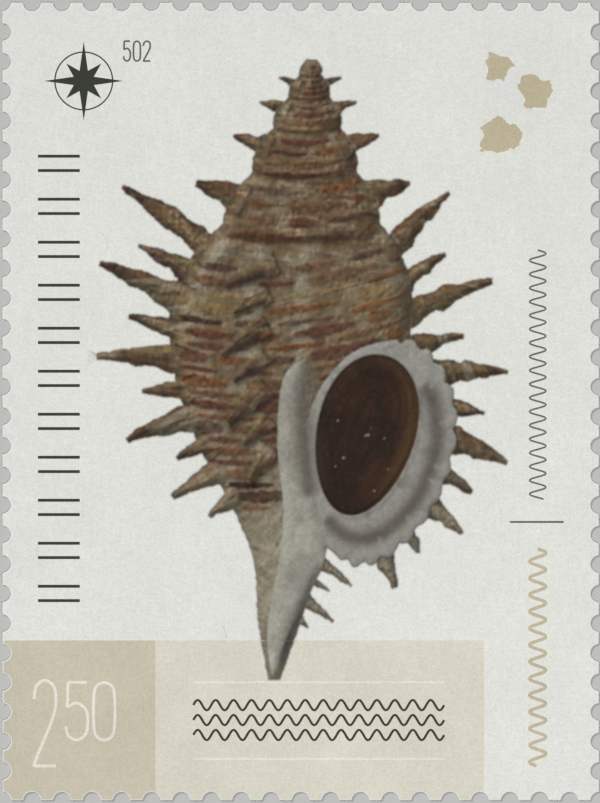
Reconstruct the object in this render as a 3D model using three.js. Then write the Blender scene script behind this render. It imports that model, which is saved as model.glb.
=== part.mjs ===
// A gummed postage stamp, torn from its sheet along the perforations: one flat piece of paper.
// Millimetres, +Z up. It lies on its gummed back, and its origin is the middle of that back.
// +Y points to the top of the printed face and +X to its right-hand side.
import * as THREE from "three";

const paperThickness = 0.11;
const holeDiameter = 0.86;
const pitchAcross = 1.5; // from hole to hole along the top and bottom rows
const pitchDown = 1.485; // from hole to hole along the two side rows
const gapsAcross = 20;
const gapsDown = 27;
const facetsPerHole = 10;

const stampWidth = gapsAcross * pitchAcross;
const stampHeight = gapsDown * pitchDown;
const holeRadius = holeDiameter / 2;

// One edge runs along a row of hole centres. Half of each hole is bitten out of it, and the paper
// left between two holes is a tooth. The corner holes leave a quarter bite at each end.
const edges = [
  { from: [-1, -1], along: [1, 0], gaps: gapsAcross, pitch: pitchAcross },
  { from: [1, -1], along: [0, 1], gaps: gapsDown, pitch: pitchDown },
  { from: [1, 1], along: [-1, 0], gaps: gapsAcross, pitch: pitchAcross },
  { from: [-1, 1], along: [0, -1], gaps: gapsDown, pitch: pitchDown },
];

function addBite(outline, centre, startAngle, sweep) {
  const facets = Math.round((facetsPerHole * sweep) / Math.PI);
  for (let step = 0; step <= facets; step++) {
    const angle = startAngle - (sweep * step) / facets;
    outline.push(
      new THREE.Vector2(
        centre.x + holeRadius * Math.cos(angle),
        centre.y + holeRadius * Math.sin(angle),
      ),
    );
  }
}

function perforatedOutline() {
  const outline = [];
  for (const { from, along, gaps, pitch } of edges) {
    const corner = new THREE.Vector2((from[0] * stampWidth) / 2, (from[1] * stampHeight) / 2);
    const direction = new THREE.Vector2(...along);
    const inwards = direction.angle() + Math.PI / 2;
    addBite(outline, corner, inwards, Math.PI / 2);
    for (let hole = 1; hole < gaps; hole++) {
      const centre = corner.clone().addScaledVector(direction, hole * pitch);
      addBite(outline, centre, inwards + Math.PI / 2, Math.PI);
    }
  }
  return outline;
}

function makePaper() {
  const outline = new THREE.Shape(perforatedOutline());
  const sheet = new THREE.ExtrudeGeometry(outline, { depth: paperThickness, bevelEnabled: false });
  const gummedPaper = new THREE.MeshStandardMaterial({ color: 0xe6e7e2, roughness: 0.75, metalness: 0 });
  const paper = new THREE.Mesh(sheet, gummedPaper);
  paper.name = "stamp_paper";
  return paper;
}

const stamp = new THREE.Group();
stamp.add(makePaper());

export default stamp;
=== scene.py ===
import bmesh
import bpy
import numpy as np
from mathutils import Matrix, Vector, geometry


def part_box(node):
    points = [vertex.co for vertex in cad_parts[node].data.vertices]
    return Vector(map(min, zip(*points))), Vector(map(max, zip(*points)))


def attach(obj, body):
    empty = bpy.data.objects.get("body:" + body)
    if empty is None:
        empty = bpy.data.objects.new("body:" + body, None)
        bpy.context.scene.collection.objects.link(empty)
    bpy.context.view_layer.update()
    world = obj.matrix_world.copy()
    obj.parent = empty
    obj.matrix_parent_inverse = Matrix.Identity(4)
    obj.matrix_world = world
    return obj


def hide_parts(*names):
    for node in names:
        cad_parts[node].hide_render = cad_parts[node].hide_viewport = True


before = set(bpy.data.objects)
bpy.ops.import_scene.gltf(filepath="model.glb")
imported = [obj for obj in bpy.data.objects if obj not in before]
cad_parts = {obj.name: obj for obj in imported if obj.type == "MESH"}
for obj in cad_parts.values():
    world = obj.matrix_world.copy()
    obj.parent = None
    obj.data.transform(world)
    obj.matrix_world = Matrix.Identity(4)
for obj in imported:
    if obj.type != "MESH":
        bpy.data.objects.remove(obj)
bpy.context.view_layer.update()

# A postage stamp with a spiny shell printed on it. Sizes below are millimetres from the middle of the
# stamp, x to its right and y to its top, unless a note says otherwise. Ink tones are 0 to 255 as seen.
paperLow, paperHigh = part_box("stamp_paper")
mm = 0.001
paperWide, paperTall, paperThick = [(high - low) / mm for low, high in zip(paperLow, paperHigh)]


def toLinear(tone):
    seen = np.asarray(tone, float) / 255
    return np.where(seen <= 0.04045, seen / 12.92, ((seen + 0.055) / 1.055) ** 2.4)


def addNode(tree, kind, values=None, **settings):
    # values go to inputs by name or place: a socket is linked and anything else is set
    made = tree.nodes.new(kind)
    for name, value in settings.items():
        setattr(made, name, value)
    for key, value in (values or {}).items():
        if isinstance(value, bpy.types.NodeSocket):
            tree.links.new(value, made.inputs[key])
        else:
            made.inputs[key].default_value = value
    return made


def makeObject(name, mesh, *materials):
    for material in materials:
        mesh.materials.append(material)
    made = bpy.data.objects.new(name, mesh)
    bpy.context.scene.collection.objects.link(made)
    return made


# camera and studio

studio = {
    "lens": 200,
    "viewTall": 40.33,  # what the picture takes in from top to bottom
    "sideStep": -0.04,
    "keyFrom": (-360, 400, 500),
    "keySize": 260,
    "keyPower": 3.0,
    "fillFrom": (60, -120, 190),
    "fillSize": 120,
    "fillPower": 0.215,
    "roomLight": 0.29,
    "floorTone": (190, 190, 188),
    "floorSize": 900,
}


def placeCamera():
    lens = bpy.data.cameras.new("stampCamera")
    lens.lens = studio["lens"]
    lens.sensor_width = 36
    lens.clip_start = 0.01
    camera = bpy.data.objects.new("stampCamera", lens)
    distance = studio["viewTall"] * lens.lens / lens.sensor_width
    camera.location = Vector((studio["sideStep"], 0, paperThick + distance)) * mm
    bpy.context.scene.collection.objects.link(camera)
    bpy.context.scene.camera = camera


def placeSoftLight(name, place, size, power):
    light = bpy.data.lights.new(name, "AREA")
    light.shape = "DISK"
    light.size = size * mm
    light.energy = power
    lamp = bpy.data.objects.new(name, light)
    lamp.location = Vector(place) * mm
    lamp.rotation_euler = lamp.location.to_track_quat("Z", "Y").to_euler()
    bpy.context.scene.collection.objects.link(lamp)


def placeStudio():
    placeSoftLight("keyLight", studio["keyFrom"], studio["keySize"], studio["keyPower"])
    placeSoftLight("fillLight", studio["fillFrom"], studio["fillSize"], studio["fillPower"])
    room = bpy.data.worlds.new("room")
    room.use_nodes = True
    air = room.node_tree.nodes["Background"]
    air.inputs["Color"].default_value = (1, 1, 1, 1)
    air.inputs["Strength"].default_value = studio["roomLight"]
    bpy.context.scene.world = room
    bpy.context.scene.view_settings.view_transform = "Standard"


def layFloor():
    material = bpy.data.materials.new("paleFloor")
    material.use_nodes = True
    shader = material.node_tree.nodes["Principled BSDF"]
    shader.inputs["Base Color"].default_value = (*toLinear(studio["floorTone"]), 1)
    shader.inputs["Roughness"].default_value = 0.9
    half = studio["floorSize"] / 2 * mm
    mesh = bpy.data.meshes.new("floor")
    corners = [(-half, -half, 0), (half, -half, 0), (half, half, 0), (-half, half, 0)]
    mesh.from_pydata(corners, [], [(0, 1, 2, 3)])
    floor = makeObject("floor", mesh, material)
    floor.location.z = -0.02 * mm  # the sheet lies loosely on it


placeCamera()
placeStudio()
layFloor()
print("studio: camera, two soft lights and a pale floor")


# finishes

paperLook = {
    "tone": (229, 230, 226),
    "warmTone": (221, 220, 213),
    "edgeTone": (238, 238, 234),
    "gumTone": (221, 219, 206),
    "fibreSize": 0.16,
    "cloudSize": 4.5,
    "speckSize": 0.075,
    "speckDepth": 0.42,
    "fibreDepth": 0.2,
    "cloudDepth": 0.24,
}


def makeGrainGroup():
    # paper grain: fine specks, matted fibres and slow clouds, all in millimetres
    group = bpy.data.node_groups.new("paperGrain", "ShaderNodeTree")
    for name, kind in (("Place", "NodeSocketVector"), ("Fibre Size", "NodeSocketFloat"),
                       ("Cloud Size", "NodeSocketFloat"), ("Speck Size", "NodeSocketFloat")):
        group.interface.new_socket(name, in_out="INPUT", socket_type=kind)
    for name in ("Specks", "Fibres", "Clouds", "Height"):
        group.interface.new_socket(name, in_out="OUTPUT", socket_type="NodeSocketFloat")
    inside = addNode(group, "NodeGroupInput").outputs

    def noise(size, stretch=(1, 1, 1), detail=2):
        perMetre = addNode(group, "ShaderNodeMath", {0: 1 / mm, 1: size}, operation="DIVIDE")
        place = addNode(group, "ShaderNodeVectorMath", {0: inside["Place"], 1: stretch},
                        operation="MULTIPLY")
        made = addNode(group, "ShaderNodeTexNoise", {
            "Vector": place.outputs[0], "Scale": perMetre.outputs[0], "Detail": detail, "Roughness": 0.6})
        return made.outputs[0]

    specks = noise(inside["Speck Size"])
    across = noise(inside["Fibre Size"], (1, 0.22, 1))
    upright = noise(inside["Fibre Size"], (0.26, 1, 1))
    fibres = addNode(group, "ShaderNodeMath", {0: across, 1: upright}, operation="MAXIMUM").outputs[0]
    clouds = noise(inside["Cloud Size"], detail=3)
    height = addNode(group, "ShaderNodeMath", {0: fibres, 1: 0.6, 2: specks}, operation="MULTIPLY_ADD")
    addNode(group, "NodeGroupOutput", {"Specks": specks, "Fibres": fibres, "Clouds": clouds,
                                       "Height": height.outputs[0]})
    return group


def makeShadeGroup():
    # a tone darkened and lightened by a noise value about its middle, by the given amount
    group = bpy.data.node_groups.new("mottle", "ShaderNodeTree")
    group.interface.new_socket("Color", in_out="INPUT", socket_type="NodeSocketColor")
    group.interface.new_socket("Value", in_out="INPUT", socket_type="NodeSocketFloat")
    group.interface.new_socket("Amount", in_out="INPUT", socket_type="NodeSocketFloat")
    group.interface.new_socket("Color", in_out="OUTPUT", socket_type="NodeSocketColor")
    inside = addNode(group, "NodeGroupInput").outputs
    centred = addNode(group, "ShaderNodeMath", {0: inside["Value"], 1: 0.5}, operation="SUBTRACT")
    gain = addNode(group, "ShaderNodeMath", {0: centred.outputs[0], 1: inside["Amount"], 2: 1.0},
                   operation="MULTIPLY_ADD")
    scaled = addNode(group, "ShaderNodeVectorMath", {0: inside["Color"], "Scale": gain.outputs[0]},
                     operation="SCALE")
    addNode(group, "NodeGroupOutput", {"Color": scaled.outputs[0]})
    return group


grainGroup = makeGrainGroup()
mottleGroup = makeShadeGroup()


def startFinish(name, roughness, specular):
    material = bpy.data.materials.new(name)
    material.use_nodes = True
    tree = material.node_tree
    shader = tree.nodes["Principled BSDF"]
    shader.inputs["Roughness"].default_value = roughness
    shader.inputs["Specular IOR Level"].default_value = specular
    place = addNode(tree, "ShaderNodeTexCoord").outputs["Object"]
    grain = addNode(tree, "ShaderNodeGroup", node_tree=grainGroup)
    tree.links.new(place, grain.inputs["Place"])
    sizes = (("Fibre Size", "fibreSize"), ("Cloud Size", "cloudSize"), ("Speck Size", "speckSize"))
    for socket, key in sizes:
        grain.inputs[socket].default_value = paperLook[key]
    return material, tree, shader, grain


def mottled(tree, colour, value, amount):
    made = addNode(tree, "ShaderNodeGroup", node_tree=mottleGroup)
    if isinstance(colour, bpy.types.NodeSocket):
        tree.links.new(colour, made.inputs["Color"])
    else:
        made.inputs["Color"].default_value = (*toLinear(colour), 1)
    tree.links.new(value, made.inputs["Value"])
    made.inputs["Amount"].default_value = amount
    return made.outputs["Color"]


def blended(tree, factor, below, above):
    made = addNode(tree, "ShaderNodeMix", {"Factor": factor}, data_type="RGBA")
    for socket, value in ((6, below), (7, above)):
        if isinstance(value, bpy.types.NodeSocket):
            tree.links.new(value, made.inputs[socket])
        else:
            made.inputs[socket].default_value = (*toLinear(value), 1)
    return made.outputs[2]


def roughen(tree, shader, height, depth, strength):
    bump = addNode(tree, "ShaderNodeBump", {"Height": height, "Distance": depth * mm, "Strength": strength})
    tree.links.new(bump.outputs["Normal"], shader.inputs["Normal"])


def makePrintedFinish():
    # bare paper, then the flat inks, then the picture, all under one grain
    material, tree, shader, grain = startFinish("printedPaper", 0.8, 0.12)
    sheet = blended(tree, grain.outputs["Clouds"], paperLook["tone"], paperLook["warmTone"])
    flat = addNode(tree, "ShaderNodeVertexColor", layer_name="flatInk")
    picture = addNode(tree, "ShaderNodeVertexColor", layer_name="pictureInk")
    inked = blended(tree, flat.outputs["Alpha"], sheet, flat.outputs["Color"])
    bare = addNode(tree, "ShaderNodeMath", {0: 1.0, 1: picture.outputs["Alpha"]}, operation="SUBTRACT")
    under = addNode(tree, "ShaderNodeVectorMath", {0: inked, "Scale": bare.outputs[0]}, operation="SCALE")
    both = addNode(tree, "ShaderNodeVectorMath", {0: under.outputs[0], 1: picture.outputs["Color"]},
                   operation="ADD")
    colour = mottled(tree, both.outputs[0], grain.outputs["Specks"], paperLook["speckDepth"])
    colour = mottled(tree, colour, grain.outputs["Fibres"], paperLook["fibreDepth"])
    colour = mottled(tree, colour, grain.outputs["Clouds"], paperLook["cloudDepth"])
    tree.links.new(colour, shader.inputs["Base Color"])
    gloss = addNode(tree, "ShaderNodeMapRange", {"Value": picture.outputs["Alpha"], "To Min": 0.78,
                                                 "To Max": 0.62})
    tree.links.new(gloss.outputs[0], shader.inputs["Roughness"])
    roughen(tree, shader, grain.outputs["Height"], 0.004, 0.35)
    return material


def makeTornFinish():
    material, tree, shader, grain = startFinish("tornPaper", 0.9, 0.2)
    colour = mottled(tree, paperLook["edgeTone"], grain.outputs["Fibres"], 0.25)
    tree.links.new(colour, shader.inputs["Base Color"])
    roughen(tree, shader, grain.outputs["Height"], 0.012, 0.7)
    return material


def makeGumFinish():
    # dry gum: creamy, half glossy and faintly crackled
    material, tree, shader, grain = startFinish("dryGum", 0.4, 0.45)
    colour = blended(tree, grain.outputs["Clouds"], paperLook["gumTone"], paperLook["warmTone"])
    colour = mottled(tree, colour, grain.outputs["Fibres"], 0.12)
    tree.links.new(colour, shader.inputs["Base Color"])
    sheen = addNode(tree, "ShaderNodeMapRange", {"Value": grain.outputs["Fibres"], "From Min": 0.3,
                                                 "From Max": 0.8, "To Min": 0.3, "To Max": 0.55})
    tree.links.new(sheen.outputs[0], shader.inputs["Roughness"])
    roughen(tree, shader, grain.outputs["Height"], 0.003, 0.4)
    return material


printedPaper = makePrintedFinish()
tornPaper = makeTornFinish()
dryGum = makeGumFinish()
print("finishes: printed paper, torn paper and dry gum")


# the shell picture, painted in strokes on a fine canvas

def valueNoise(x, y, seed):
    # smooth noise from -1 to 1, the same on every run
    left, low = np.floor(x).astype(np.int64), np.floor(y).astype(np.int64)
    u, v = x - left, y - low
    u, v = u * u * (3 - 2 * u), v * v * (3 - 2 * v)

    def corner(i, j):
        h = (i * 374761393 + j * 668265263 + seed * 974634777) & 0xFFFFFFFF
        h = ((h ^ (h >> 13)) * 1274126177) & 0xFFFFFFFF
        return ((h ^ (h >> 16)) & 0xFFFF) / 32767.5 - 1

    bottom = corner(left, low) * (1 - u) + corner(left + 1, low) * u
    top = corner(left, low + 1) * (1 - u) + corner(left + 1, low + 1) * u
    return bottom * (1 - v) + top * v


def grain(x, y, seed, octaves=3):
    total, weight = 0, 1
    for step in range(octaves):
        total = total + weight * valueNoise(x * 2 ** step, y * 2 ** step, seed + 17 * step)
        weight *= 0.55
    return total / 1.6


def ramp(low, high, value):
    t = np.clip((value - low) / (high - low), 0, 1)
    return t * t * (3 - 2 * t)


def mix(a, b, mask):
    if 3 in (np.ndim(a), np.ndim(b)) or np.ndim(a) == 1:
        mask = mask[..., None]
    return a + (b - a) * mask


def smoothPath(points, step=0.2):
    # a curve through the points, as Catmull and Rom draw it
    p = np.array([points[0], *points, points[-1]], float)
    out = []
    for i in range(1, len(p) - 2):
        count = max(2, int(np.hypot(*(p[i + 1] - p[i])) / step))
        t = np.linspace(0, 1, count, endpoint=False)[:, None]
        out.append(0.5 * (2 * p[i] + (p[i + 1] - p[i - 1]) * t
                          + (2 * p[i - 1] - 5 * p[i] + 4 * p[i + 1] - p[i + 2]) * t ** 2
                          + (3 * p[i] - p[i - 1] - 3 * p[i + 1] + p[i + 2]) * t ** 3))
    return np.vstack(out + [p[-1:]])


def alongPath(x, y, path):
    # distance run along the path, offset to its left, and its length
    best = np.full(x.shape, np.inf)
    run, offset, start = np.zeros(x.shape), np.zeros(x.shape), 0
    for a, b in zip(path[:-1], path[1:]):
        d = b - a
        length = np.hypot(*d)
        u = np.clip(((x - a[0]) * d[0] + (y - a[1]) * d[1]) / length ** 2, 0, 1)
        ox, oy = x - a[0] - u * d[0], y - a[1] - u * d[1]
        square = ox * ox + oy * oy
        nearer = square < best
        best = np.where(nearer, square, best)
        run = np.where(nearer, start + u * length, run)
        offset = np.where(nearer, np.sqrt(square) * np.sign(d[0] * oy - d[1] * ox), offset)
        start += length
    return run, offset, start


def depthInside(x, y, outline):
    # distance to the outline, positive inside it
    best = np.full(x.shape, np.inf)
    inside = np.zeros(x.shape, bool)
    for a, b in zip(outline, np.roll(outline, -1, axis=0)):
        d = b - a
        u = np.clip(((x - a[0]) * d[0] + (y - a[1]) * d[1]) / (d @ d), 0, 1)
        best = np.minimum(best, (x - a[0] - u * d[0]) ** 2 + (y - a[1] - u * d[1]) ** 2)
        if a[1] != b[1]:
            spans = (a[1] > y) != (b[1] > y)
            inside ^= spans & (x < (b[0] - a[0]) * (y - a[1]) / (b[1] - a[1]) + a[0])
    return np.where(inside, 1, -1) * np.sqrt(best)


def blur(field, radius):
    # radius is in canvas cells
    size = int(np.ceil(radius * 2.5))
    kernel = np.exp(-0.5 * (np.arange(-size, size + 1) / radius) ** 2)
    kernel /= kernel.sum()
    for axis in (0, 1):
        pad = [(0, 0)] * field.ndim
        pad[axis] = (size, size)
        wide = np.pad(field, pad, mode="edge")
        reach = field.shape[axis]
        parts = [wide[i:i + reach] if axis == 0 else wide[:, i:i + reach] for i in range(len(kernel))]
        field = sum(weight * part for weight, part in zip(kernel, parts))
    return field


shellCanvas = {"left": -10.4, "right": 11.0, "low": -14.9, "high": 18.4, "cell": 1 / 30}


class Canvas:
    def __init__(self, left, right, low, high, cell):
        self.left, self.low, self.cell = left, low, cell
        columns, rows = int((right - left) / cell), int((high - low) / cell)
        self.x, self.y = np.meshgrid(left + cell * (np.arange(columns) + 0.5),
                                     low + cell * (np.arange(rows) + 0.5))
        self.cover = np.zeros(self.x.shape)
        self.relief = np.zeros(self.x.shape)
        self.polish = np.zeros(self.x.shape)
        self.ink = np.full(self.x.shape + (3,), 0.6)

    def near(self, points, margin):
        # the window of cells round the points
        points = np.asarray(points)
        low = ((points.min(0) - margin - (self.left, self.low)) / self.cell).astype(int)
        high = ((points.max(0) + margin - (self.left, self.low)) / self.cell).astype(int) + 1
        low = np.maximum(low, 0)
        return slice(low[1], max(high[1], low[1] + 1)), slice(low[0], max(high[0], low[0] + 1))


inkTones = {
    "fawn": (130, 118, 98), "clay": (112, 97, 77), "umberLight": (112, 91, 66), "tan": (128, 111, 86),
    "ochre": (126, 107, 74), "olive": (108, 96, 70), "brown": (104, 80, 58), "rust": (108, 74, 48),
    "maroon": (88, 58, 46), "dark": (66, 48, 38), "plum": (86, 67, 57), "bark": (96, 80, 62),
    "moss": (98, 92, 70), "cream": (160, 148, 124), "pale": (152, 147, 131), "chalk": (160, 158, 146),
    "bone": (160, 156, 139), "stone": (148, 146, 136), "ridge": (166, 165, 154), "dusk": (99, 93, 84),
    "lipPale": (149, 147, 140), "lipMid": (128, 125, 119), "lipShade": (98, 93, 86),
    "lipWhite": (157, 156, 150), "groove": (121, 118, 112), "umber": (50, 36, 28), "ember": (64, 44, 31),
    "night": (38, 29, 25), "amber": (94, 70, 45),
}
tones = {name: np.array(tone) / 255 for name, tone in inkTones.items()}


def shadeBeside(canvas, window, outline, mask, strength):
    # the soft shadow that a part throws down and to the right
    x, y = canvas.x[window], canvas.y[window]
    under = depthInside(x - 0.10, y + 0.12, outline)
    canvas.ink[window] *= (1 - strength * ramp(-0.25, 0.1, under) * (1 - mask))[..., None]


def layPatch(canvas, outline, ground, rise, rim, seed, rough=0.05, soft=0.05, base=0.0, shadow=0.2,
             speck=0.10, polish=0.0, blotch=1.3, edge=None):
    # a broad part of the shell, mottled with the three tones of its ground, its rim rounded down
    outline = np.asarray(outline, float)
    window = canvas.near(outline, 0.5)
    x, y = canvas.x[window], canvas.y[window]
    bentX = x + rough * grain(x * 4.5, y * 4.5, seed + 5, 2)
    bentY = y + rough * grain(x * 4.5, y * 4.5, seed + 9, 2)
    depth = depthInside(bentX, bentY, outline)
    mask = ramp(-soft / 2, soft / 2, depth)
    if shadow:
        shadeBeside(canvas, window, outline, mask, shadow)
    first, second, third = [tones[name] for name in ground]
    colour = mix(first, second, ramp(-0.5, 0.5, grain(x * blotch, y * blotch, seed + 20)))
    colour = mix(colour, third, 0.8 * ramp(0.15, 0.8, grain(x * blotch * 1.7, y * blotch * 1.7, seed + 30)))
    colour = colour * (1 + speck * grain(x * 6, y * 6, seed + 40))[..., None]
    if edge:
        colour = mix(colour, tones[edge], 0.7 * ramp(0.12, 0, depth))
    dome = base + rise * np.sqrt(ramp(-0.02, rim, depth))
    canvas.ink[window] = mix(canvas.ink[window], colour, mask)
    canvas.relief[window] = mix(canvas.relief[window], dome, mask)
    canvas.polish[window] = mix(canvas.polish[window], polish, mask)
    canvas.cover[window] = np.maximum(canvas.cover[window], mask)
    return window, depth, mask


def laySpine(canvas, outline, middle, tone, seed, base=0.1, rise=0.35, root=0.8, fade=None):
    # a spine with its root faded into the shell: its tones are upper edge, core, lower edge and tip
    outline = np.asarray(outline, float)
    window = canvas.near(outline, 0.5)
    x, y = canvas.x[window], canvas.y[window]
    bentX = x + 0.05 * grain(x * 5, y * 5, seed + 5, 2)
    bentY = y + 0.05 * grain(x * 5, y * 5, seed + 9, 2)
    depth = depthInside(bentX, bentY, outline)
    mask = ramp(-0.025, 0.025, depth)
    shadeBeside(canvas, window, outline, mask, 0.35)
    run, offset, length = alongPath(x, y, smoothPath(middle))
    bare = ramp(0.6, 0.2, canvas.cover[window])
    mask = mask * np.maximum(bare, ramp(0, root, run + 0.25 * grain(x * 3, y * 3, seed + 6) - 0.1))
    half = max(0.12, np.percentile(np.abs(offset[mask > 0.5]), 80))
    across = offset / half + 0.35 * grain(run * 1.2, offset * 2, seed + 11, 2)
    upper, core, lower, tip = [tones[name] for name in tone]
    colour = mix(upper, core, ramp(0.9, 0.1, across))
    colour = mix(colour, lower, ramp(-0.2, -0.9, across))
    colour = mix(colour, tip, 0.85 * ramp(0.55, 0.95, run / length + 0.1 * grain(x * 3, y * 3, seed + 3)))
    if fade:
        rootward = ramp(0.35, 0.0, run / length + 0.08 * grain(x * 3, y * 3, seed + 4))
        colour = mix(colour, tones[fade], rootward)
    streak = grain(run * 0.9, offset * 7, seed + 13, 2)
    tick = grain(run * 7.5 + 1.5 * offset, offset * 2.2, seed + 14, 2)
    colour = colour * (1 + 0.17 * streak + 0.13 * tick + 0.08 * grain(x * 5, y * 5, seed + 15))[..., None]
    colour = colour * (1 + grain(x * 2.6, y * 2.6, seed + 16)[..., None] * np.array([0.05, -0.01, -0.06]))
    dome = base + rise * np.sqrt(ramp(-0.02, half, depth)) + 0.05 * streak + 0.035 * tick
    canvas.ink[window] = mix(canvas.ink[window], colour, mask)
    canvas.relief[window] = mix(canvas.relief[window], dome, mask)
    canvas.polish[window] = mix(canvas.polish[window], 0.0, mask)
    canvas.cover[window] = np.maximum(canvas.cover[window], mask)


def layCord(canvas, tone, strength, widths, points, seed, ends=0.25, bump=0.04):
    # a coloured cord, barbed across by the growth lines and broken along its length
    path = smoothPath(points)
    window = canvas.near(path, max(widths) + 0.2)
    x, y = canvas.x[window], canvas.y[window]
    run, offset, length = alongPath(x, y, path)
    half = np.interp(run / length, np.linspace(0, 1, len(widths)), np.array(widths) / 2)
    saw = grain(run * 7.5 + offset * 1.5, run * 0 + 3.3, seed + 1, 2)
    half = half * (1 + 0.35 * saw + 0.3 * grain(run * 1.4, offset * 0.5, seed + 6, 2))
    drift = np.abs(offset + 0.03 * grain(run * 2.0, run * 0 + 0.7, seed + 2, 2))
    caps = ramp(0, ends, run) * ramp(0, ends, length - run)
    broken = np.clip(1 + 0.45 * grain(run * 4, offset * 7, seed + 3, 3), 0, 1.15)
    core = ramp(half + 0.07, half - 0.07, drift) * caps * broken
    halo = np.exp(-(drift / (half + 0.09)) ** 2) * caps * 0.4
    here = canvas.cover[window] > 0.5
    jitter = 1 + 0.18 * grain(x * 6, y * 4, seed + 4) + 0.10 * saw
    around = mix(canvas.ink[window], tones[tone] * 1.25, np.clip(halo * strength * here, 0, 1))
    painted = tones[tone] * jitter[..., None]
    canvas.ink[window] = mix(around, painted, np.clip(core * strength * here, 0, 1))
    canvas.relief[window] += bump * core * here


def layShade(canvas, tone, strength, widths, points, seed, ends=0.5):
    # a soft shadow or light along a path
    path = smoothPath(points)
    window = canvas.near(path, 1.3 * max(widths) + 0.1)
    x, y = canvas.x[window], canvas.y[window]
    run, offset, length = alongPath(x, y, path)
    half = np.interp(run / length, np.linspace(0, 1, len(widths)), np.array(widths) / 2)
    mask = np.exp(-1.2 * (offset / half) ** 2) * (1 + 0.12 * grain(x * 2, y * 2, seed))
    mask = mask * ramp(-0.01, ends, run) * ramp(-0.01, ends, length - run)
    mask = np.clip(mask * strength, 0, 1) * (canvas.cover[window] > 0.3)
    canvas.ink[window] = mix(canvas.ink[window], tones[tone], mask)


def layStain(canvas, tone, strength, centre, radii, seed=1, ragged=0.35):
    # a ragged round stain
    centre = np.array(centre)
    reach = max(radii) * 1.6
    window = canvas.near(np.array([centre - reach, centre + reach]), 0)
    x, y = canvas.x[window] - centre[0], canvas.y[window] - centre[1]
    away = np.hypot(x / radii[0], y / radii[1])
    away = away + ragged * grain(x * 2.6 + 9, y * 2.6 + 4, seed, 3)
    mask = strength * ramp(1.25, 0.5, away) * (canvas.cover[window] > 0.3)
    canvas.ink[window] = mix(canvas.ink[window], tones[tone], mask)


shell = {  # a spiny shell of textbook proportions, grown by a few rules
    "tip": 17.2,
    "axis": (-0.5, 0.06),  # x of the axis at y = 0, and its lean
    "whorls": 5,
    "firstWhorl": 0.8,
    "growth": 1.4,
    "tipReach": 0.25,
    "spireSlope": 0.42,
    "bulge": 0.16,
    # height on the body, with its reach to the left and to the right of the axis
    "body": [(7.6, 5.2, 5.0), (5.2, 6.3, 5.8), (1.6, 6.0, 5.6), (-2.0, 4.6, 4.6), (-5.2, 2.7, 3.4),
             (-8.0, 1.4, 2.0), (-11.0, 1.0, 1.2), (-14.0, 0.3, 0.3)],
    "ground": ("fawn", "clay", "umberLight"),
}

spineTones = [("plum", "bark", "olive", "plum"), ("brown", "bark", "olive", "bark"),
              ("bark", "tan", "plum", "dark"), ("moss", "bark", "brown", "dark")]

spineShape = {
    "points": 16,  # along the spine
    "frill": 0.32,  # how uneven its width is, as a share
    "frillPitch": 2.4,
    "taper": 0.82,
    "taperPower": 1.4,
    "buried": 1.1,  # how much of it lies inside the shell
    "shortShare": 0.55,  # every second spine is this much as long
}

# bearings in degrees and lengths go from the first spine of a row to its last
leftRow = {
    "count": 10, "bearings": (128, 214), "lengths": (4.6, 2.0),
    "width": 1.5, "hook": 16, "base": 0.1, "seed": 41,
}
rightRow = {
    "count": 11, "bearings": (58, -62), "lengths": (4.4, 1.9),
    "width": 1.5, "hook": -14, "base": 0.1, "seed": 83,
}
canalRow = {
    "count": 4, "bearings": (-24, -40), "lengths": (2.2, 1.1),
    "width": 0.8, "hook": -10, "base": 0.1, "seed": 127,
}
frontRow = {
    "count": 7, "bearings": (196, 232), "lengths": (1.9, 1.1),
    "width": 1.1, "hook": 10, "base": 0.62, "seed": 163,
    "inward": 0.62,  # how far the row stands from the left edge towards the axis
}
# lengths and widths are shares of the whorl's height
spireSpine = {"length": 0.75, "width": 0.5, "bearing": 24, "hook": 12, "buried": 0.3, "seed": 211}

bodyCords = {
    "top": 7.4, "low": -5.4, "spacing": 0.62, "rise": 0.1, "sag": 0.028,
    "narrow": 0.34, "wide": 0.56, "seed": 301,
}
spireCords = {"perWhorl": 4, "rise": 0.04, "sag": 0.16, "width": 0.16, "seed": 401}
cordTones = ("maroon", "brown", "rust", "plum", "maroon", "ochre", "dark")

ribs = {
    "places": (-0.78, -0.36, 0.08),  # across the body, -1 at its left edge and 1 at its right
    "top": 8.2, "low": -4.5, "tone": "pale", "strength": 0.65, "width": 1.3, "seed": 501,
    "duskBeside": 0.95,  # from the rib's crest to the dusky stripe on its right
}

mouth = {
    "middle": (3.7, -2.5),
    "radii": (3.7, 5.6),
    "tilt": -14,
    "narrow": 0.08,
    "crimps": 26,
    "crimpDepth": 0.07,
    "ground": ("lipPale", "lipPale", "lipMid"),
    "inner": 0.8,  # where the shaded throat runs, as a share of the radii
    "rim": 0.93,  # where the white rim runs
    "foldEvery": 9,
}

trapdoor = {
    "middle": (3.25, -1.7),
    "radii": (2.45, 4.1),
    "tilt": -14,
    "narrow": 0.12,
    "ground": ("umber", "ember", "night"),
    "specks": 9,
    "seed": 601,
}

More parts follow.
